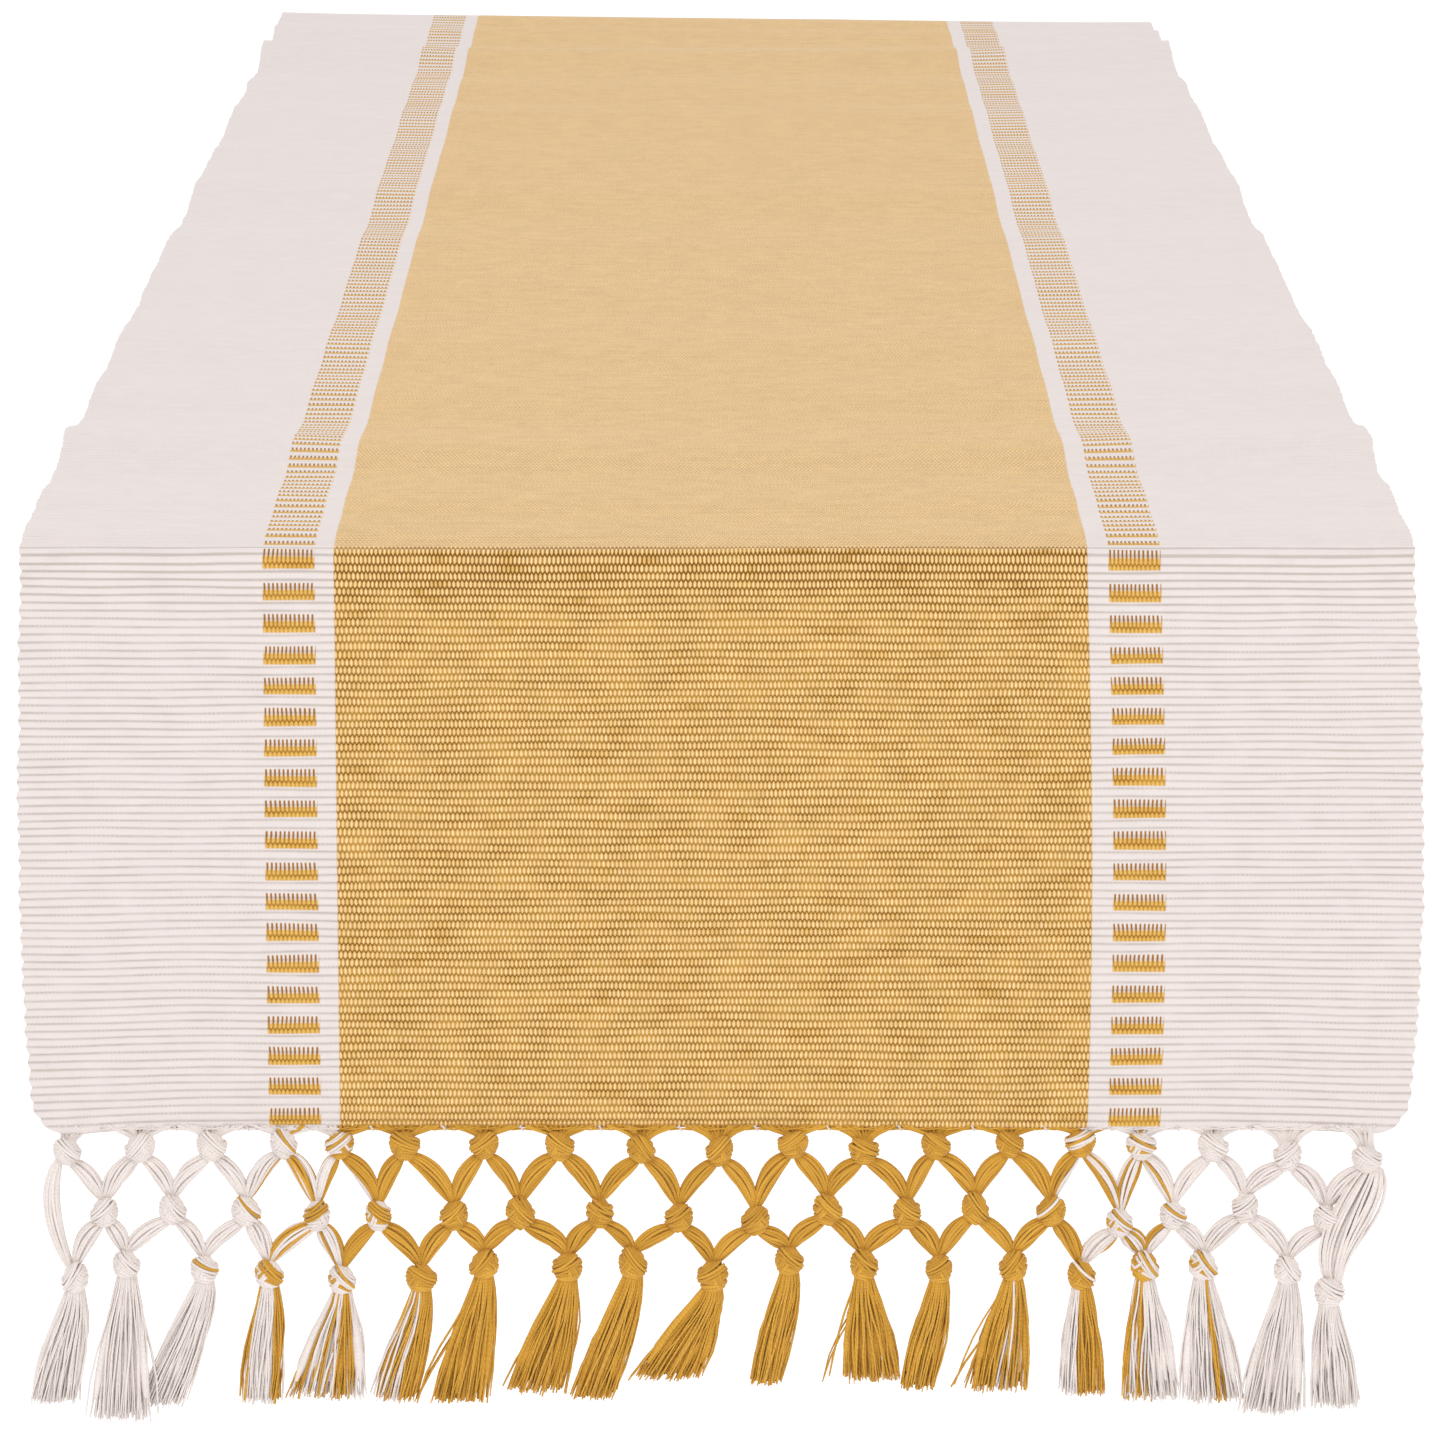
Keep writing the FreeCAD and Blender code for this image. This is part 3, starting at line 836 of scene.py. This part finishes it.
def hem_thread(places, rng):
    """A thread twined along the hem, over the yarns, and a small stitch between the fans."""
    yarns = []
    steps = 8
    for left, right in zip(places, places[1:]):
        for ply in (0, math.pi):
            points = []
            for step in range(steps + 1):
                x = left + (right - left) * step / steps
                turn = 2 * math.pi * step / steps * 2 + ply
                points.append(Vector((x, HANG_Y + 0.75 * MM + 0.2 * MM * math.cos(turn),
                                      HEM_Z - 0.1 * MM + 0.28 * MM * math.sin(turn))))
            yarns.append((points, 0.24 * MM, band_yarn((left + right) / 2, rng)))
        middle = (left + right) / 2
        stitch = [Vector((middle - 0.5 * MM, HANG_Y + 0.9 * MM, HEM_Z + 0.8 * MM)),
                  Vector((middle, HANG_Y + 1.35 * MM, HEM_Z + 0.2 * MM)),
                  Vector((middle + 0.4 * MM, HANG_Y + 0.9 * MM, HEM_Z - 0.6 * MM))]
        yarns.append((stitch, 0.3 * MM, CREAM))
    return yarns


# ================================================================ tassels
def skirt(head, shape, stripes, stray, rng):
    """The loose cut yarns below a tassel's head, in slight clumps, waving and spreading."""
    lean, width, longer, forwards = shape
    end_z = TASSEL_END_Z - (longer - 0.8) * MM
    clumps = []
    for _ in range(SKIRT_CLUMPS):
        clumps.append((rng.uniform(-1, 1), rng.uniform(-0.9, 0.9), rng.uniform(-1, 1)))
    yarns = []
    for k in range(SKIRT_YARNS):
        angle = 2.4 * k
        reach = math.sqrt((k + 0.5) / SKIRT_YARNS)
        side, front = reach * math.cos(angle), reach * math.sin(angle)
        clump = clumps[k % len(clumps)]
        end_side = side * 0.9 + clump[0] * 0.13 + rng.uniform(-0.08, 0.08)
        end_front = front * 0.8 + clump[1] * 0.2
        if stray and k % 56 == 7:
            end_side = stray / width * 2 * rng.uniform(0.75, 1.05)
        neck = head + Vector((side * 2.6 * MM, front * 2.2 * MM, -3.8 * MM))
        tip_z = end_z + (rng.uniform(-1.1, 1.1) + 0.9 * clump[2]) * MM
        tip = Vector((head.x + (lean + end_side * width / 2) * MM,
                      head.y + (forwards + end_front * 2.6) * MM, tip_z))
        middle = neck.lerp(tip, 0.5) + Vector((end_side * 1.8 * MM, end_front * 1.0 * MM, 0))
        below_neck = neck + Vector((side * 1.2 * MM, front * 0.9 * MM, -5 * MM))
        line = bend([neck, below_neck, middle, tip], SKIRT_STEPS)
        wave = rng.uniform(0.2, 0.9) * MM
        turns = rng.uniform(0.5, 1.3)
        phase = rng.uniform(0, 6.28)
        points = [head + Vector((side * 1.5 * MM, front * 1.5 * MM, -1.5 * MM))]
        for step, place in enumerate(line):
            t = step / SKIRT_STEPS
            sway = wave * min(1, 1.6 * t) * math.sin(turns * 6.28 * t + phase)
            points.append(place + Vector((sway, 0.6 * sway * math.cos(phase), 0)))
        across = (side * 0.98 + 1) / 2 + rng.uniform(-0.02, 0.02)
        colour = GOLD if any(low <= across <= high for low, high in stripes) else CREAM
        thick = SKIRT_YARN_RADIUS * rng.uniform(0.75, 1.1)
        yarns.append((points, [thick] * (SKIRT_STEPS + 1) + [0.7 * thick], colour))
    return yarns


def skirt_filling(head, shape, stripes):
    """Thick soft yarns inside a skirt, which fill it between the outer ones."""
    lean, width, longer, forwards = shape
    end_z = TASSEL_END_Z - (longer - 0.8) * MM
    yarns = []
    for k in range(7):
        share = (k - 3) / 3
        top = head + Vector((share * 1.5 * MM, 0, -3 * MM))
        foot = Vector((head.x + 0.88 * (lean + 0.42 * share * width) * MM,
                       head.y + 0.88 * forwards * MM, head.z + 0.88 * (end_z - head.z)))
        middle = top.lerp(foot, 0.5) + Vector((share * 0.5 * MM, 0, 0))
        points = [top, top.lerp(middle, 0.5), middle, middle.lerp(foot, 0.6), foot]
        wide = (0.5 + 0.05 * width) * MM
        colour = GOLD if any(low <= 0.5 + 0.4 * share <= high for low, high in stripes) else CREAM
        yarns.append((points, [1.1 * MM, 1.2 * MM, wide, 1.1 * wide, 0.5 * wide], colour))
    return yarns


def tassel(end, index, head, rng):
    """A tassel: its head knot and the skirt below it, which turn together."""
    lean, width, longer, forwards = SKIRTS[index]
    way = -ENDS[end]
    size = (3.9 * MM * rng.uniform(0.9, 1.1), 3.7 * MM, 4.9 * MM * rng.uniform(0.9, 1.08))
    hand = KNOT_HANDS[(index * 3 + 1) % len(KNOT_HANDS)]
    yarns, core = knot(head, size, 0.04, hand, rng.uniform(-0.25, 0.25), HEAD_COLOURS[index], rng)
    shape = (way * lean, width, longer, forwards)
    stripes, cotton = GOLD_STRIPES.get(index, []), "mixed_cotton"
    if index in PLAIN_GOLD_SKIRTS:
        stripes, cotton = [(-1, 2)], "gold_cotton"
    if not stripes:
        cotton = "cream_cotton"
    if way < 0:
        stripes = [(1 - high, 1 - low) for low, high in stripes]
    yarns += skirt_filling(head, shape, stripes)
    fine = skirt(head, shape, stripes, way * STRAYS.get(index, 0), rng)
    name = f"{end}_tassel_{index + 1:02d}"
    return yarn_piece(f"{name}_yarns", end, yarns, [core], name, [name], fine)


# ================================================================ one end's fringe
def knot_middles(end, height, shifts, lifts):
    """The middles of a row's knots, about their even height."""
    places = row_places(end, shifts)
    return [Vector((x, HANG_Y, height + lift * MM)) for x, lift in zip(places, lifts)]


def fringe(end):
    """All the yarn pieces of one end, which go with its hanging cloth."""
    rng = random.Random(11 if end == "front" else 29)
    first = knot_middles(end, FIRST_ROW_Z, FIRST_ROW_SHIFTS, FIRST_ROW_LIFTS)
    second = knot_middles(end, SECOND_ROW_Z, SECOND_ROW_SHIFTS, SECOND_ROW_LIFTS)
    heads = knot_middles(end, HEAD_Z, HEAD_SHIFTS, HEAD_LIFTS)
    fans = []
    for centre in first:
        fans += hem_fan(centre, rng)
    fans += hem_thread([centre.x for centre in first], rng)
    pieces = [yarn_piece(f"{end}_hem_yarns", end, fans, [], f"{end}_drop", [f"{end}_hem_gathers"])]
    low, round_knot = (4.0 * MM, 3.7 * MM, 4.4 * MM), (3.9 * MM, 3.7 * MM, 4.8 * MM)
    pieces.append(knot_row(end, "first", first, FIRST_ROW_COLOURS, low, 0.2, rng))
    pieces.append(knot_row(end, "second", second, SECOND_ROW_COLOURS, round_knot, 0.05, rng))
    pieces.append(strand_row(end, "upper", first, second, rng))
    pieces.append(strand_row(end, "lower", second, heads, rng))
    pieces.append(outer_strands(end, first, heads, rng))
    for index, head in enumerate(heads):
        pieces.append(tassel(end, index, head, rng))
    return pieces


def knot_row(end, row, places, words, size, taper, rng):
    """One row of knots, a little different in size and each tied its own way."""
    yarns, cores = [], []
    for index, centre in enumerate(places):
        hand = KNOT_HANDS[(index + len(row)) % len(KNOT_HANDS)]
        own = Vector((size[0] * rng.uniform(0.92, 1.06), size[1], size[2] * rng.uniform(0.93, 1.08)))
        made, core = knot(centre, own, taper, hand, rng.uniform(-0.25, 0.25), words[index], rng)
        yarns += made
        cores.append(core)
    name = f"{end}_{row}_row_of_knots"
    return yarn_piece(name, end, yarns, cores, f"{end}_net", [f"{end}_{row}_row_knots"])


def strand_row(end, row, above, below, rng):
    """Two strands from each knot, to the nearest knots on each side in the row below."""
    yarns = []
    for upper in above:
        for lower in below:
            if abs(lower.x - upper.x) < 0.8 * GROUP_PITCH:
                home = upper.x + 0.3 * (lower.x - upper.x)
                yarns += crossing_strand(upper, lower, strand_colours(home), rng)
    name = f"{end}_{row}_strand_yarns"
    return yarn_piece(name, end, yarns, [], f"{end}_net", [f"{end}_{row}_strands"])


def strand_colours(home):
    """Colours of a strand whose yarns start near home on the hem."""
    def colour(share, rng):
        return band_yarn(home + (share - 0.5) * GROUP_PITCH * 0.5, rng)
    return colour


def outer_strands(end, first, heads, rng):
    """The long strands at the two edges, from the first knots straight to the tassels."""
    yarns = []
    for side, loose in ((0, False), (-1, True)):
        upper, lower = first[side], heads[side]
        way = -1 if side == 0 else 1
        start = upper + Vector((way * 2.2 * MM, 0, -2.2 * MM))
        finish = lower + Vector((way * 1.2 * MM, 0, 2.8 * MM))
        upper_bow, lower_bow, ahead = (-2.4, -2.4, 2.8) if loose else (4.2, 5.0, 0.6)
        first_bend = start + MM * Vector((way * upper_bow, ahead, -9))
        last_bend = finish + MM * Vector((way * lower_bow, ahead, 12))
        width = 11.0 * MM if loose else 4.0 * MM
        count = 24 if loose else 11
        end_inside = lower + Vector((0, 0, STRAND_END_ABOVE))
        yarns += strand([start, first_bend, last_bend, finish], end_inside, width, 4.4 * MM, 0.35,
                        count, one_colour(CREAM), rng, 0.2, 13)
    name = f"{end}_outer_strand_yarns"
    return yarn_piece(name, end, yarns, [], f"{end}_net", [f"{end}_outer_strands"])


# ================================================================ floor, light and camera
def floor():
    """A plain pale floor, under the runner's lowest tassels."""
    bm = bmesh.new()
    bmesh.ops.create_grid(bm, x_segments=1, y_segments=1, size=45)
    for vert in bm.verts:
        vert.co.z = FLOOR_Z
    mesh = bpy.data.meshes.new("floor")
    bm.to_mesh(mesh)
    bm.free()
    material, _, shader = new_material("pale_floor")
    shader.inputs["Base Color"].default_value = (0.93, 0.93, 0.935, 1)
    shader.inputs["Roughness"].default_value = 0.9
    shader.inputs["Emission Color"].default_value = (1, 1, 1, 1)
    shader.inputs["Emission Strength"].default_value = 0.35
    mesh.materials.append(material)
    new_piece("floor", mesh)


def area_light(name, place, target, size, power):
    """A round soft light at a place, turned to its target."""
    light = bpy.data.lights.new(name, "AREA")
    light.shape = "DISK"
    light.size = size
    light.energy = power
    holder = bpy.data.objects.new(name, light)
    holder.location = place
    holder.rotation_euler = (Vector(target) - Vector(place)).to_track_quat("-Z", "Y").to_euler()
    bpy.context.scene.collection.objects.link(holder)


def studio():
    """An even white room with three soft lights."""
    world = bpy.data.worlds.new("soft_white_room")
    world.use_nodes = True
    background = world.node_tree.nodes["Background"]
    background.inputs["Color"].default_value = (0.985, 0.988, 1.0, 1)
    background.inputs["Strength"].default_value = 0.78
    bpy.context.scene.world = world
    area_light("key", (-1.2, -3.2, 3.2), (0, -0.6, -0.1), 1.6, 42)
    area_light("fill", (1.8, -2.8, 1.6), (0, -0.7, -0.1), 2.2, 14)
    area_light("overhead", (0.2, 1.0, 2.6), (0, 0.5, 0), 2.4, 14)
    bpy.context.scene.view_settings.view_transform = "Standard"


def camera():
    """In front of the runner and a little above it, with a long lens."""
    data = bpy.data.cameras.new("camera")
    data.sensor_width = 36
    data.lens = CAMERA_LENS
    data.clip_end = 200
    holder = bpy.data.objects.new("camera", data)
    holder.location = CAMERA_PLACE
    tip = math.radians(90 - CAMERA_TIPPED_DOWN)
    holder.rotation_euler = (tip, 0, math.radians(CAMERA_TURNED))
    bpy.context.scene.collection.objects.link(holder)
    bpy.context.scene.camera = holder


# ================================================================ the runner
FIBRES = cotton_fibre_group()
BEADS = warp_beads_group()
CLOTH = cloth_material(FIBRES, BEADS)
# Each yarn's second colour is darker: painted shade in the twist's grooves, and a random darker tone on
# some yarns.
YARNS = [
    yarn_material("cream_cotton_yarn", linear(235, 225, 220), linear(220, 210, 203), FIBRES),
    yarn_material("gold_cotton_yarn", linear(220, 168, 66), linear(168, 116, 26), FIBRES),
]


def runner_end(end):
    """One half of the runner: its fringe, its cloth on the table and its hanging cloth."""
    hanging_from = RIBS_PER_HALF - RIBS_ON_HANGING_CLOTH
    fringe_pieces = fringe(end)
    on_table = ribbed_sheet(f"{end}_cloth_on_table", end, 0, hanging_from, 4, 34, CLOTH)
    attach(on_table, "top")
    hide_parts("table_panel")
    hanging = ribbed_sheet(f"{end}_hanging_cloth", end, hanging_from, RIBS_PER_HALF, 6, 56, CLOTH)
    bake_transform(hanging)
    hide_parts(f"{end}_fold", f"{end}_drop_panel")


for end, side in ENDS.items():
    runner_end(end)

floor()
studio()
camera()
